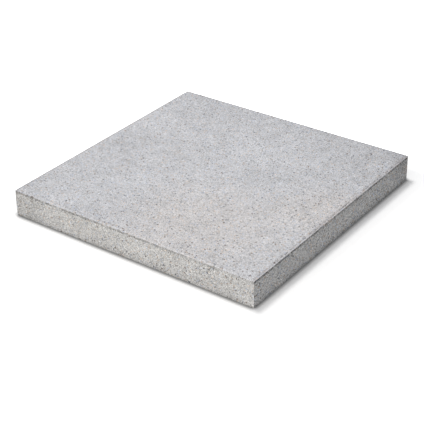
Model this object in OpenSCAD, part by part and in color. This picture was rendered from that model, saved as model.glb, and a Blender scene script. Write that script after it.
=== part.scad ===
/* [Slab] */
// Length of the slab along X
slab_length = 400; // [200:5:900]
// Width of the slab along Y
slab_width = 400; // [200:5:900]
// Thickness from the bed face up to the walking face
slab_thickness = 40; // [30:1:80]

/* [Edges] */
// Width of the arris, measured across the walking face
arris_width = 3.5; // [1:0.5:8]
// Depth of the arris, measured down from the walking face
arris_drop = 1; // [0.5:0.25:4]
// Radius of the four upright corners
corner_radius = 1; // [0.5:0.5:3]

/* [Hidden] */
$fn = 32;
concrete_grey = [0.78, 0.78, 0.78];

// Cross-section of a slab of the given span: square at the bed, arrised along both upper edges
module arrised_section(span) {
    half = span / 2;
    shoulder = slab_thickness - arris_drop;
    polygon([
        [-half, 0],
        [half, 0],
        [half, shoulder],
        [half - arris_width, slab_thickness],
        [arris_width - half, slab_thickness],
        [-half, shoulder]
    ]);
}

// Plan of the slab: a rectangle with its four corners rounded
module plan() {
    square([slab_length - 2 * corner_radius, slab_width], center = true);
    square([slab_length, slab_width - 2 * corner_radius], center = true);
    for (x = [-1, 1], y = [-1, 1]) {
        translate([x * (slab_length / 2 - corner_radius), y * (slab_width / 2 - corner_radius)])
            circle(r = corner_radius);
    }
}

// One cast block. The two crossed sections give arrises that meet in a mitre at each corner.
module slab() {
    color(concrete_grey)
    intersection() {
        linear_extrude(height = slab_thickness) plan();
        rotate([90, 0, 0])
            linear_extrude(height = slab_width, center = true) arrised_section(slab_length);
        rotate([90, 0, 90])
            linear_extrude(height = slab_length, center = true) arrised_section(slab_width);
    }
}

slab();
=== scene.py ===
from math import radians

import bmesh
import bpy
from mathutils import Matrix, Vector


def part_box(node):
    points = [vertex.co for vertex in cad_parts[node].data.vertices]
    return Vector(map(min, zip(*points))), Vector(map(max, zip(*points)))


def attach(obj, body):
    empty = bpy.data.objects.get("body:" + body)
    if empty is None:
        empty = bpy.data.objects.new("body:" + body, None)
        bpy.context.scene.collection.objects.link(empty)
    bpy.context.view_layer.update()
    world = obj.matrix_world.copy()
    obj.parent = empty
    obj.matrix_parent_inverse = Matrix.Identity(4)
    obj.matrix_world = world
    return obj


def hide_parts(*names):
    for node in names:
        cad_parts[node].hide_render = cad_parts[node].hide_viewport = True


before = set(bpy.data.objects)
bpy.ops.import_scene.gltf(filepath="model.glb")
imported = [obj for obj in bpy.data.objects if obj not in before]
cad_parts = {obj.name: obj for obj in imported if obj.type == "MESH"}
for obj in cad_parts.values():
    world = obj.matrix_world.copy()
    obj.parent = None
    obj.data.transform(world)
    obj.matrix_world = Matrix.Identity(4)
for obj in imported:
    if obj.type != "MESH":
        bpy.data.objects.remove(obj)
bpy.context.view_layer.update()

slabLow, slabHigh = (Vector(corner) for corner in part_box("slab"))
slabSize = slabHigh - slabLow
halfLength = slabSize.x / 2
halfWidth = slabSize.y / 2
thickness = slabSize.z
mm = 0.001  # the scene is in metres
middle = 0.5  # of noise and of random numbers, which run from 0 to 1
print("frame loaded, slab measures", [round(side / mm, 1) for side in slabSize], "mm")


class Wire:
    # a node socket that takes part in Python sums: each sum adds a Math node to its tree
    def __init__(self, tree, socket):
        self.tree = tree
        self.socket = socket

    def node(self, kind, settings, sockets, output=0):
        made = self.tree.nodes.new(kind)
        for name, value in settings.items():
            setattr(made, name, value)
        for name, value in sockets.items():
            if isinstance(value, Wire):
                self.tree.links.new(value.socket, made.inputs[name])
            else:
                made.inputs[name].default_value = value
        return Wire(self.tree, made.outputs[output])

    def sibling(self, output):  # another output of the same node
        return Wire(self.tree, self.socket.node.outputs[output])

    def calc(self, operation, *values):
        return self.node("ShaderNodeMath", {"operation": operation}, dict(enumerate(values)))

    def __add__(self, other):
        return self.calc("ADD", self, other)

    def __sub__(self, other):
        return self.calc("SUBTRACT", self, other)

    def __rsub__(self, other):
        return self.calc("SUBTRACT", other, self)

    def __neg__(self):
        return self.calc("SUBTRACT", 0, self)

    def __mul__(self, other):
        return self.calc("MULTIPLY", self, other)

    def __truediv__(self, other):
        return self.calc("DIVIDE", self, other)

    def __pow__(self, other):
        return self.calc("POWER", self, other)

    def __abs__(self):
        return self.calc("ABSOLUTE", self)

    __radd__ = __add__
    __rmul__ = __mul__

    def least(self, other):
        return self.calc("MINIMUM", self, other)

    def most(self, other):
        return self.calc("MAXIMUM", self, other)

    def fade(self, start, end):  # 0 at start, 1 at end, smooth between
        span = {"Value": self, "From Min": start, "From Max": end}
        return self.node("ShaderNodeMapRange", {"interpolation_type": "SMOOTHSTEP"}, span)

    def split(self):
        first = self.node("ShaderNodeSeparateXYZ", {}, {0: self})
        return first, first.sibling(1), first.sibling(2)

    def moved(self, step):
        return self.node("ShaderNodeVectorMath", {"operation": "ADD"}, {0: self, 1: step})

    def scaled(self, factor):
        return self.node("ShaderNodeVectorMath", {"operation": "SCALE"}, {"Vector": self, "Scale": factor})

    def coloured(self, colour):  # a plain colour times this value
        return self.node("ShaderNodeVectorMath", {"operation": "SCALE"}, {"Vector": colour, "Scale": self})

    def blend(self, low, high):  # from one colour at 0 to the other at 1
        return self.node("ShaderNodeMix", {"data_type": "RGBA"}, {0: self, 6: low, 7: high}, 2)

    def tinted(self, factor, colour):  # fades a colour towards another
        return self.node("ShaderNodeMix", {"data_type": "RGBA"}, {0: factor, 6: self, 7: colour}, 2)

    def cloud(self, size, detail):  # soft noise about 0, patches of about this size
        look = {"Vector": self, "Scale": 1 / size, "Detail": detail}
        return self.node("ShaderNodeTexNoise", {}, look) - middle

    def patches(self, size, detail, low, high):  # noise that goes from 0 to 1 between two levels
        return self.cloud(size, detail).fade(low, high)

    def shaken(self, size, amount):  # uneven places, so that round grains come out ragged
        look = {"Vector": self, "Scale": 1 / size, "Detail": 1.0}
        shift = self.node("ShaderNodeTexNoise", {}, look, "Color").moved((-middle, -middle, -middle))
        return self.moved(shift.scaled(amount))

    def spot(self, place, core):  # 1 in the core of a spot, 0 beyond its reach: x, y, z and reach in mm
        x, y, z, reach = (value * mm for value in place)
        between = {0: self, 1: (x, y, z)}
        away = self.node("ShaderNodeVectorMath", {"operation": "DISTANCE"}, between, "Value")
        return away.fade(reach, core * reach)

    def grains(self, size):  # cells of about this size: distance from their middles, three random numbers
        cell = self.node("ShaderNodeTexVoronoi", {}, {"Vector": self, "Scale": 1 / size})
        # the node's own colours follow the places of the middles, so they only seed the random numbers
        chance = cell.node("ShaderNodeTexWhiteNoise", {}, {"Vector": cell.sibling("Color")}, "Color")
        return cell * size, chance.split()

    def pores(self, shift, spacing, small, large):  # 1 in the middle of each scattered pit, 0 outside
        reach, chance = self.moved(shift).grains(spacing)
        radius = chance[0] * (large - small) + small
        poreFloor = 0.35  # share of the radius
        return (reach / radius).fade(1, poreFloor)


def source(tree, kind, output=0):  # a node with nothing to put in
    return Wire(tree, tree.nodes.new(kind).outputs[output])


# Camera, at the picture's viewing angle
cameraView = {
    "lens": 99.9,  # mm, on a 36 mm sensor
    "place": (0.8615, -1.19, 0.8351),  # metres
    "aim": (0.0216, -0.0405, 0.0009),
    "roll": -0.74,  # degrees
}


def setCamera(view):
    bpy.ops.object.camera_add(location=view["place"])
    camera = bpy.context.object
    camera.name = "camera"
    camera.data.lens = view["lens"]
    sight = Vector(view["aim"]) - Vector(view["place"])
    camera.rotation_euler = sight.to_track_quat("-Z", "Y").to_euler()
    camera.rotation_euler.rotate_axis("Z", radians(view["roll"]))
    bpy.context.scene.camera = camera


setCamera(cameraView)
print("camera set")


# Slab, one cast block
slabForm = {
    "arrisWidth": 3.5 * mm,  # across the walking face
    "arrisDrop": 1.0 * mm,  # down from the walking face
    "cell": 0.8 * mm,  # squares of the mesh before the relief is pressed in
    "lastCut": 4,  # each piece of a plan edge is cut up once more, into this many
    "triangles": 190000,  # left after thinning
    "smoothBelow": 50,  # degrees between two faces
}
straight = 0.99  # how closely an edge or a face has to follow an axis


def pickFaces(piece, wanted):
    bpy.ops.mesh.select_mode(type="FACE")
    bpy.ops.mesh.select_all(action="DESELECT")
    mesh = bmesh.from_edit_mesh(piece.data)
    for face in mesh.faces:
        face.select_set(wanted(face))
    bmesh.update_edit_mesh(piece.data)


def pickEdges(piece, wanted):
    bpy.ops.mesh.select_mode(type="EDGE")
    bpy.ops.mesh.select_all(action="DESELECT")
    mesh = bmesh.from_edit_mesh(piece.data)
    for edge in mesh.edges:
        edge.select_set(wanted((edge.verts[1].co - edge.verts[0].co).normalized()))
    bmesh.update_edit_mesh(piece.data)


def cutUp(piece, wanted, parts):
    pickEdges(piece, wanted)
    bpy.ops.mesh.subdivide(number_cuts=round(parts) - 1)


def alongAxis(axis):
    return lambda way: abs(way[axis]) > straight


def alongMitre(way):
    return abs(way.x) > 1 - straight and abs(way.y) > 1 - straight


def makeBlock(form):
    shoulder = thickness - form["arrisDrop"]
    bpy.ops.object.select_all(action="DESELECT")
    bpy.ops.mesh.primitive_cube_add(size=1, location=(0, 0, 0))
    block = bpy.context.object
    block.name = "paving_slab"
    bpy.ops.object.mode_set(mode="EDIT")
    bpy.ops.transform.resize(value=(slabSize.x, slabSize.y, shoulder))
    bpy.ops.transform.translate(value=(0, 0, slabLow.z + shoulder / 2))
    pickFaces(block, lambda face: face.normal.z > straight)
    bpy.ops.mesh.inset(thickness=form["arrisWidth"], depth=form["arrisDrop"])
    # the four mitres, then the height, then the plan
    cutUp(block, alongMitre, form["arrisWidth"] / form["cell"])
    cutUp(block, alongAxis(2), shoulder / form["cell"])
    for axis in (0, 1):
        cutUp(block, alongAxis(axis), slabSize[axis] / form["cell"] / form["lastCut"])
        cutUp(block, alongAxis(axis), form["lastCut"])
    bpy.ops.object.mode_set(mode="OBJECT")
    return block


slab = makeBlock(slabForm)
print("block made,", len(slab.data.polygons), "faces")


# Relief, the same for the mesh and for the colours
# The ends are the two faces across X, and the sides the two across Y
relief = {
    "swell": 0.14 * mm,  # slow unevenness of the faces
    "swellPatches": (45 * mm, 1, -0.25, 0.25),  # size, detail, noise levels where they begin and end
    "grit": 0.12 * mm,  # small unevenness
    "gritPatches": (5 * mm, 2, -0.3, 0.3),
    "poreDepth": 0.9 * mm,
    "widePores": ((0.5, 0.2, 0.9), 15 * mm, 0.5 * mm, 1.6 * mm),  # shift, spacing, radius from and to
    "closePores": ((0.8, 0.6, 0.4), 6 * mm, 0.3 * mm, 1.2 * mm),
    "closeFrom": (0.5 * mm, 2.5 * mm),  # below the walking face, where the close ones begin
    "pits": [  # the few large pits: middle and radius in mm
        (151, -27, 39.5, 1.9), (84, -102, 39.5, 1.6), (90, -107, 39.5, 1.5), (-71, -158, 39.5, 1.5),
        (170, 46, 39.5, 1.5), (22, -97, 39.5, 1.5), (-127, 1, 39.5, 1.5), (168, 4, 39.5, 1.5),
        (-141, 38, 39.5, 1.4), (155, 172, 39.5, 1.4),
        (132, -199.5, 31, 2.0), (124, -199.5, 30, 1.5), (60, -199.5, 11, 1.6), (-151, -199.5, 32, 1.4),
        (30, -199.5, 14, 1.5), (139, -199.5, 33, 1.3),
        (199.5, -113, 31, 1.7), (199.5, -23, 19, 1.5),
    ],
    "pitFloor": 0.4,  # share of a pit's radius
    "rowDepth": 0.6 * mm,  # rows of pits along the arris
    "endRow": 2.4 * mm,  # in from the ends, on top
    "topRow": 4.1 * mm,  # in from the sides, on top
    "topShare": 0.35,  # how strong that row is beside the one at the ends
    "topBand": (1.4 * mm, 0.4 * mm),  # half width of the rows on top, outside and at full depth
    "topSkin": (1.6 * mm, 1.1 * mm),  # how far below the walking face they reach
    "underRow": 3.5 * mm,  # below the walking face, on ends and sides
    "underBand": (1.4 * mm, 0.5 * mm),
    "underSkin": (1.8 * mm, 1.0 * mm),  # how far behind an end or a side that row reaches
    "rowShift": (0.3, 0.1, 0.7),
    "dashes": (4 * mm, 1, -0.06, 0.06),
    "stretches": (45 * mm, 1, -0.16, 0.06),
    "chipDepth": 0.35 * mm,  # knocks on the upper edges
    "chips": ((0.2, 0.9, 0.3), 12 * mm, 0.8 * mm, 3.2 * mm),
    "chipBand": (3.0 * mm, 0.5 * mm),
    "edgeWear": 0.08 * mm,
    "wearBand": (1.0 * mm, 0),
    "footMargin": (0, 2 * mm),  # above the bed, where the relief of the faces begins
    "bedDepth": 0.8 * mm,
    "bedPores": ((0.1, 0.4, 0.6), 11 * mm, 1.0 * mm, 3.0 * mm),
    "bedPatches": (9 * mm, 3, 0, 0.3),
    "bedSkin": (0.3 * mm, 0.1 * mm),
    "bedMargin": (2 * mm, 6 * mm),  # in from the sides and ends
    "knock": (-200, -200, 0, 4.5),  # broken lower corner: place and radius in mm
    "knockDepth": 1.8 * mm,
}


def gaps(point):  # how far in from the ends, in from the sides, below the walking face and above the bed
    x, y, z = point.split()
    return halfLength - abs(x), halfWidth - abs(y), thickness - z, z


def upperEdge(point):  # distance along the surface to the upper edges
    ends, sides, drop, _ = gaps(point)
    return ends.least(sides).most(drop)


def arrisBand(point, form, outside, core):  # 1 along the rows on top, inside the arris
    ends, sides, drop, _ = gaps(point)
    endRow = abs(ends - form["endRow"]).fade(outside, core)
    topRow = abs(sides - form["topRow"]).fade(outside, core)
    return endRow.most(form["topShare"] * topRow) * drop.fade(*form["topSkin"])


def rowDashes(point, form):  # the broken rows of pits just inside and just under the arris
    ends, sides, drop, _ = gaps(point)
    onTop = arrisBand(point, form, *form["topBand"])
    under = abs(drop - form["underRow"]).fade(*form["underBand"])
    under = under * ends.least(sides).fade(*form["underSkin"])
    broken = point.moved(form["rowShift"]).patches(*form["dashes"])
    return onTop.most(under) * broken * point.patches(*form["stretches"])


def facePores(point, form):  # air holes of the cast faces
    drop = gaps(point)[2]
    holes = point.pores(*form["widePores"])
    holes = holes.most(point.pores(*form["closePores"]) * drop.fade(*form["closeFrom"]))
    for pit in form["pits"]:
        holes = holes.most(point.spot(pit, form["pitFloor"]))
    return holes


def edgeChips(point, form):
    return point.pores(*form["chips"]) * upperEdge(point).fade(*form["chipBand"])


def bedRoughness(point, form):
    ends, sides, _, rise = gaps(point)
    rough = point.pores(*form["bedPores"]) + point.patches(*form["bedPatches"])
    return rough * ends.least(sides).fade(*form["bedMargin"]) * rise.fade(*form["bedSkin"])


def pressRelief(piece, form):
    tree = bpy.data.node_groups.new("slab_relief", "GeometryNodeTree")
    tree.interface.new_socket("Geometry", in_out="INPUT", socket_type="NodeSocketGeometry")
    tree.interface.new_socket("Geometry", in_out="OUTPUT", socket_type="NodeSocketGeometry")
    point = source(tree, "GeometryNodeInputPosition")
    rise = gaps(point)[3]
    face = (
        form["swell"] * point.patches(*form["swellPatches"])
        + form["grit"] * point.patches(*form["gritPatches"])
        + form["poreDepth"] * facePores(point, form)
        + form["rowDepth"] * rowDashes(point, form)
        + form["chipDepth"] * edgeChips(point, form)
        + form["edgeWear"] * upperEdge(point).fade(*form["wearBand"])
    ) * rise.fade(*form["footMargin"])
    bed = form["bedDepth"] * bedRoughness(point, form)
    depth = face + bed + form["knockDepth"] * point.spot(form["knock"], 0)
    inwards = source(tree, "GeometryNodeInputNormal").scaled(-depth)
    came = source(tree, "NodeGroupInput")
    pressed = came.node("GeometryNodeSetPosition", {}, {"Geometry": came, "Offset": inwards})
    tree.links.new(pressed.socket, tree.nodes.new("NodeGroupOutput").inputs[0])
    press = piece.modifiers.new("relief", "NODES")
    press.node_group = tree
    bpy.ops.object.modifier_apply(modifier=press.name)


def thin(piece, form):
    cut = piece.modifiers.new("thin", "DECIMATE")
    cut.ratio = form["triangles"] / (2 * len(piece.data.polygons))
    cut.use_collapse_triangulate = True
    bpy.ops.object.modifier_apply(modifier=cut.name)
    bpy.ops.object.shade_smooth_by_angle(angle=radians(form["smoothBelow"]))


pressRelief(slab, relief)
print("relief pressed")
thin(slab, slabForm)
print("slab thinned to", len(slab.data.polygons), "triangles")

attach(slab, "root")
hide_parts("slab")


# Concrete, on Object coordinates
concreteLook = {
    "coolPaste": (0.607, 0.605, 0.622, 1),
    "warmPaste": (0.628, 0.605, 0.600, 1),
    "lowerPaste": (0.650, 0.641, 0.629, 1),  # on ends and sides
    "lowerFrom": (1.2 * mm, 2.0 * mm),  # below the walking face, where ends and sides begin
    "warmPatches": [(70, -130, 40, 160), (185, -10, 40, 90)],  # place and reach in mm
    "warmth": 0.35,  # of the slow clouds beside those patches
    "warmCloud": (120 * mm, 1),
    "warmShift": (0.6, 0.5, 0.8),
    "paintedShades": [  # painted shade and, below 0, painted light, where the lamps' light falls off across the faces: middle and reach in mm, strength
        (-120, 240, 40, 170, 0.05), (60, 250, 40, 180, 0.06), (200, 180, 40, 190, 0.06),
        (-170, 0, 40, 70, 0.05), (190, 0, 40, 70, 0.05), (-20, -10, 40, 130, -0.03),
        (-200, -200, 0, 85, 0.12), (200, 200, 0, 70, 0.09), (200, 190, 40, 45, 0.13),
    ],
    "softCore": 0.2,  # share of a painted shade's or a patch's reach
    "blotch": 0.30,
    "blotchCloud": (22 * mm, 2),  # size and detail
    "stain": 0.20,
    "stainCloud": (110 * mm, 2),
    "mottle": 0.06,
    "mottleCloud": (6 * mm, 3),
    "darkest": 0.15,  # of the paste's brightness
    "raggedness": (1.4 * mm, 2.2 * mm),  # size and amount, for the outlines of all grains
    "fineSand": 1.5,
    "fineSize": 0.85 * mm,
    "fineEdge": (0.8 * mm, 0.15 * mm),
    "fineLightest": 0.2,
    "bigSize": 2.4 * mm,
    "bigShift": (0.4, 0.8, 0.2),
    "bigEdge": (1.5 * mm, 0.5 * mm),
    "lightGrain": 0.25,
    "lightOnes": (0.82, 0.86),  # which of the random numbers from 0 to 1 make a light grain
    "tintedOnes": (0.84, 0.88),  # and a brown or a blue one
    "tint": 0.7,
    "brownGrain": (0.60, 0.45, 0.33, 1),
    "blueGrain": (0.43, 0.49, 0.62, 1),
    "speckSpacing": 4.2 * mm,
    "speckShift": (0.9, 0.7, 0.1),
    "speckRadius": 0.3 * mm,  # of the smallest
    "speckGrowth": 1.1 * mm,  # from the smallest to the largest
    "speckEdge": (1.15, 0.55),  # shares of the radius
    "speckCover": 0.95,
    "brownOnes": (0.4, 0.6),
    "brownSpeck": (0.17, 0.12, 0.09, 1),
    "blueSpeck": (0.10, 0.11, 0.14, 1),
    "lowerSpeck": 0.1,  # how much smaller the specks are on ends and sides
    "lowerSand": 0.3,  # how much stronger the sand is there
    "endSand": 0.4,  # how much more sand and coloured grains show on the ends
    # lighter rim along the upper edges: partly a worn edge, partly a painted highlight where the arris
    # catches the light
    "rim": 0.05,
    "rimBand": (2.2 * mm, 0.8 * mm),
    # painted shade inside the pits and the rows of pits
    "pore": 0.75,
    "rowPitShade": 0.45,
    # a darker broken row below the arris, on ends and sides
    "underRowDark": 0.24,
    "darkRowBand": (2.3 * mm, 0.7 * mm),
    "darkRowPatches": (5 * mm, 2, -0.1, 0.1),
    "darkRowLeast": 0.2,  # of the row's darkening between its patches
    "darkRowGrowth": 1.3,
    "endDarkening": 0.45,  # how much stronger the darker row and the painted shade at the foot are on the ends
    # painted shade over the upper part of the ends
    "endShade": 0.06,
    "endShadeBand": (24 * mm, 4 * mm),  # below the walking face
    "arrisGrime": 0.16,
    "arrisDirt": (0.36, 0.29, 0.27, 1),
    "dirtBand": (3.2 * mm, 0.8 * mm),
    # painted shade at the foot, where the slab meets the floor
    "footShade": 0.22,
    "footLine": 0.7,  # share in the narrow shaded line at the bed
    "footBand": (5 * mm, 0),
    "footHaze": 0.3,  # share in the wide shaded haze above it
    "hazeBand": (18 * mm, 2 * mm),
    "brightEdgeSpot": (180, -200, 38, 45),  # where the row under the front arris fades and the painted highlight on the rim grows: place and reach in mm
    "brightEdgeCore": 0.5,
    "rowFading": 0.8,
    "roughness": 0.9,
    "grainPolish": 0.1,
    "unevenness": 0.05,  # of the roughness
    "roughCloud": (6 * mm, 2),
    "specular": 0.2,
    "bump": 0.6,
    "sandBump": 0.12,  # share of a grain's size
    "speckBump": 0.3 * mm,
    "poreBump": 0.2 * mm,
}


def makeConcrete(look, form):
    concrete = bpy.data.materials.new("concrete")
    concrete.use_nodes = True
    tree = concrete.node_tree
    shader = tree.nodes["Principled BSDF"]
    point = source(tree, "ShaderNodeTexCoord", "Object")
    ends, sides, drop, rise = gaps(point)
    lower = drop.fade(*look["lowerFrom"])
    onEnd = ends.fade(*form["underSkin"])

    # grains of three sizes, the largest few as dark specks
    ragged = point.shaken(*look["raggedness"])
    fineReach, fine = ragged.grains(look["fineSize"])
    bigReach, big = ragged.moved(look["bigShift"]).grains(look["bigSize"])
    speckReach, speck = ragged.moved(look["speckShift"]).grains(look["speckSpacing"])
    shape = bigReach.fade(*look["bigEdge"])
    lightOnes = shape * big[0].fade(*look["lightOnes"])
    brownOnes = shape * big[1].fade(*look["tintedOnes"])
    blueOnes = shape * big[2].fade(*look["tintedOnes"])
    speckSize = (look["speckRadius"] + look["speckGrowth"] * speck[0]) * (1 - look["lowerSpeck"] * lower)
    specks = (speckReach / speckSize).fade(*look["speckEdge"])
    speckColour = speck[1].fade(*look["brownOnes"]).blend(look["blueSpeck"], look["brownSpeck"])

    # light and dark
    fineTone = (fine[0] - middle).least(look["fineLightest"])
    grain = (
        look["fineSand"] * fineTone * fineReach.fade(*look["fineEdge"])
        + look["lightGrain"] * lightOnes
        + look["mottle"] * point.cloud(*look["mottleCloud"])
    )
    sand = grain * (1 + (look["lowerSand"] + look["endSand"] * onEnd) * lower)
    slow = look["blotch"] * point.cloud(*look["blotchCloud"])
    slow = slow + look["stain"] * point.cloud(*look["stainCloud"])
    # painted shade and painted light where the lamps' light falls off, added to the slow stains
    for *place, strength in look["paintedShades"]:
        slow = slow - strength * point.spot(place, look["softCore"])
    # near the front corner the row under the arris fades and the painted highlight on the rim doubles
    brightEdge = point.spot(look["brightEdgeSpot"], look["brightEdgeCore"]) * (1 - onEnd)
    # painted highlight along the upper edges, partly a worn lighter rim
    rim = ends.least(sides).fade(*look["rimBand"]) * (1 - lower) * (1 + brightEdge)
    tone = (1 + sand + slow + look["rim"] * rim).most(look["darkest"])

    # darker row, painted shade at the foot and on the ends, and painted shade in the pits
    # a darker broken row below the arris
    rowBreaks = point.moved(form["rowShift"]).patches(*look["darkRowPatches"])
    rowBreaks = look["darkRowLeast"] + look["darkRowGrowth"] * rowBreaks
    row = abs(drop - form["underRow"]).fade(*look["darkRowBand"]) * rowBreaks
    row = look["underRowDark"] * row * (1 + look["endDarkening"] * onEnd - look["rowFading"] * brightEdge)
    # painted shade at the foot, where the slab meets the floor, stronger on the ends
    foot = (look["footLine"] + look["endDarkening"] * onEnd) * rise.fade(*look["footBand"])
    foot = look["footShade"] * (foot + look["footHaze"] * rise.fade(*look["hazeBand"]))
    # painted shade over the upper part of the ends
    endShading = look["endShade"] * onEnd * drop.fade(*look["endShadeBand"])
    darkRowAndShade = (row + foot + endShading) * lower
    # painted shade inside the rows of pits and the other pits, the darker of the two
    rowPitShading = look["rowPitShade"] * rowDashes(point, form) * (1 - look["rowFading"] * brightEdge)
    holes = facePores(point, form)
    dark = (look["pore"] * holes).most(rowPitShading)

    # colour
    warmth = look["warmth"] * point.moved(look["warmShift"]).cloud(*look["warmCloud"])
    for patch in look["warmPatches"]:
        warmth = warmth + point.spot(patch, look["softCore"])
    paste = warmth.blend(look["coolPaste"], look["warmPaste"]).tinted(lower, look["lowerPaste"])
    tint = look["tint"] + look["endSand"] * onEnd * lower
    paste = paste.tinted(tint * brownOnes, look["brownGrain"]).tinted(tint * blueOnes, look["blueGrain"])
    arris = arrisBand(point, form, *look["dirtBand"])
    toned = paste.scaled(tone).tinted(look["arrisGrime"] * arris, look["arrisDirt"])
    toned = toned.tinted(look["speckCover"] * specks, speckColour)
    # darkened by the painted shade in the pits, the darker row and the painted shade at the foot and on the
    # ends
    colour = toned.scaled((1 - dark) * (1 - darkRowAndShade))
    tree.links.new(colour.socket, shader.inputs["Base Color"])

    rough = look["roughness"] - look["grainPolish"] * lightOnes
    rough = rough + look["unevenness"] * point.cloud(*look["roughCloud"])
    tree.links.new(rough.socket, shader.inputs["Roughness"])
    height = look["sandBump"] * -fineReach - look["speckBump"] * specks - look["poreBump"] * holes
    heights = {"Strength": look["bump"], "Distance": 1.0, "Height": height}  # heights are in metres
    tree.links.new(height.node("ShaderNodeBump", {}, heights).socket, shader.inputs["Normal"])
    shader.inputs["Specular IOR Level"].default_value = look["specular"]
    return concrete


slab.data.materials.append(makeConcrete(concreteLook, relief))
print("concrete mixed")


# Floor, lamps and world
studio = {
    "floorSize": 8.0,  # metres
    "floorGap": 0.05 * mm,  # below the bed face
    "paperTint": (1.0, 0.992, 0.982),
    "floorBounce": 0.52,  # light that the floor throws back on the slab
    "floorLevel": 1.15,  # how white the floor is seen near the slab
    "whiteFrom": 24 * mm,  # from the slab's foot, where the floor begins to fade to plain white
    "whiteTo": 75 * mm,
    "contactShadowReach": 7.5 * mm,  # of the contact shadow painted into the floor's colour under the slab's foot
    "contactShadowPower": 2.0,
    "skyLight": 0.50,
    "skyColour": (0.98, 1.0, 1.03, 1),
}
keyLamp = {
    "name": "key_lamp",
    "place": (-0.52, 0.15, 2.2),
    "size": 0.45,
    "power": 20.0,  # watts
    "colour": (1.0, 1.0, 1.0),
}
fillLamp = {
    "name": "fill_lamp",
    "place": (0.0, -2.4, 0.65),
    "size": 0.7,
    "power": 20.2,
    "colour": (1.03, 1.0, 0.95),
}


def seenRays(tree):  # 1 for what the camera sees, straight or in a reflection
    path = source(tree, "ShaderNodeLightPath", "Is Camera Ray")
    return path.most(path.sibling("Is Glossy Ray")).most(path.sibling("Is Transmission Ray"))


def setFloor(look):
    bpy.ops.object.select_all(action="DESELECT")
    bpy.ops.mesh.primitive_plane_add(size=look["floorSize"], location=(0, 0, slabLow.z - look["floorGap"]))
    floor = bpy.context.object
    floor.name = "floor"
    paper = bpy.data.materials.new("white_floor")
    paper.use_nodes = True
    tree = paper.node_tree
    shader = tree.nodes["Principled BSDF"]
    shader.inputs["Roughness"].default_value = 1.0
    shader.inputs["Specular IOR Level"].default_value = 0.0
    seen = seenRays(tree)
    ends, sides, _, _ = gaps(source(tree, "ShaderNodeTexCoord", "Object"))
    # contact shadow painted into the floor's colour for the camera, from ambient occlusion
    clear = seen.node("ShaderNodeAmbientOcclusion", {}, {"Distance": look["contactShadowReach"]}, "AO")
    lit = look["floorLevel"] * clear ** look["contactShadowPower"]
    level = seen * (lit - look["floorBounce"]) + look["floorBounce"]
    tree.links.new(level.coloured(look["paperTint"]).socket, shader.inputs["Base Color"])
    # glow seen only by the camera: it paints the floor plain white away from the slab and fades out far
    # shadows
    plain = seen * ends.least(sides).fade(-look["whiteFrom"], -look["whiteTo"])
    tree.links.new(plain.socket, shader.inputs["Emission Color"])
    shader.inputs["Emission Strength"].default_value = 1.0
    floor.data.materials.append(paper)


def setLamp(look):
    bpy.ops.object.light_add(type="AREA", location=look["place"])
    lamp = bpy.context.object
    lamp.name = look["name"]
    lamp.data.size = look["size"]
    lamp.data.energy = look["power"]
    lamp.data.color = look["colour"]
    lamp.rotation_euler = (-Vector(look["place"])).to_track_quat("-Z", "Y").to_euler()  # towards the slab


def setWorld(look):
    world = bpy.data.worlds.new("pale_room")
    bpy.context.scene.world = world
    world.use_nodes = True
    tree = world.node_tree
    background = tree.nodes["Background"]
    level = seenRays(tree) * (1 - look["skyLight"]) + look["skyLight"]
    tree.links.new(level.socket, background.inputs["Strength"])
    background.inputs["Color"].default_value = look["skyColour"]


setFloor(studio)
setLamp(keyLamp)
setLamp(fillLamp)
setWorld(studio)
bpy.context.scene.view_settings.view_transform = "Standard"
print("studio set")
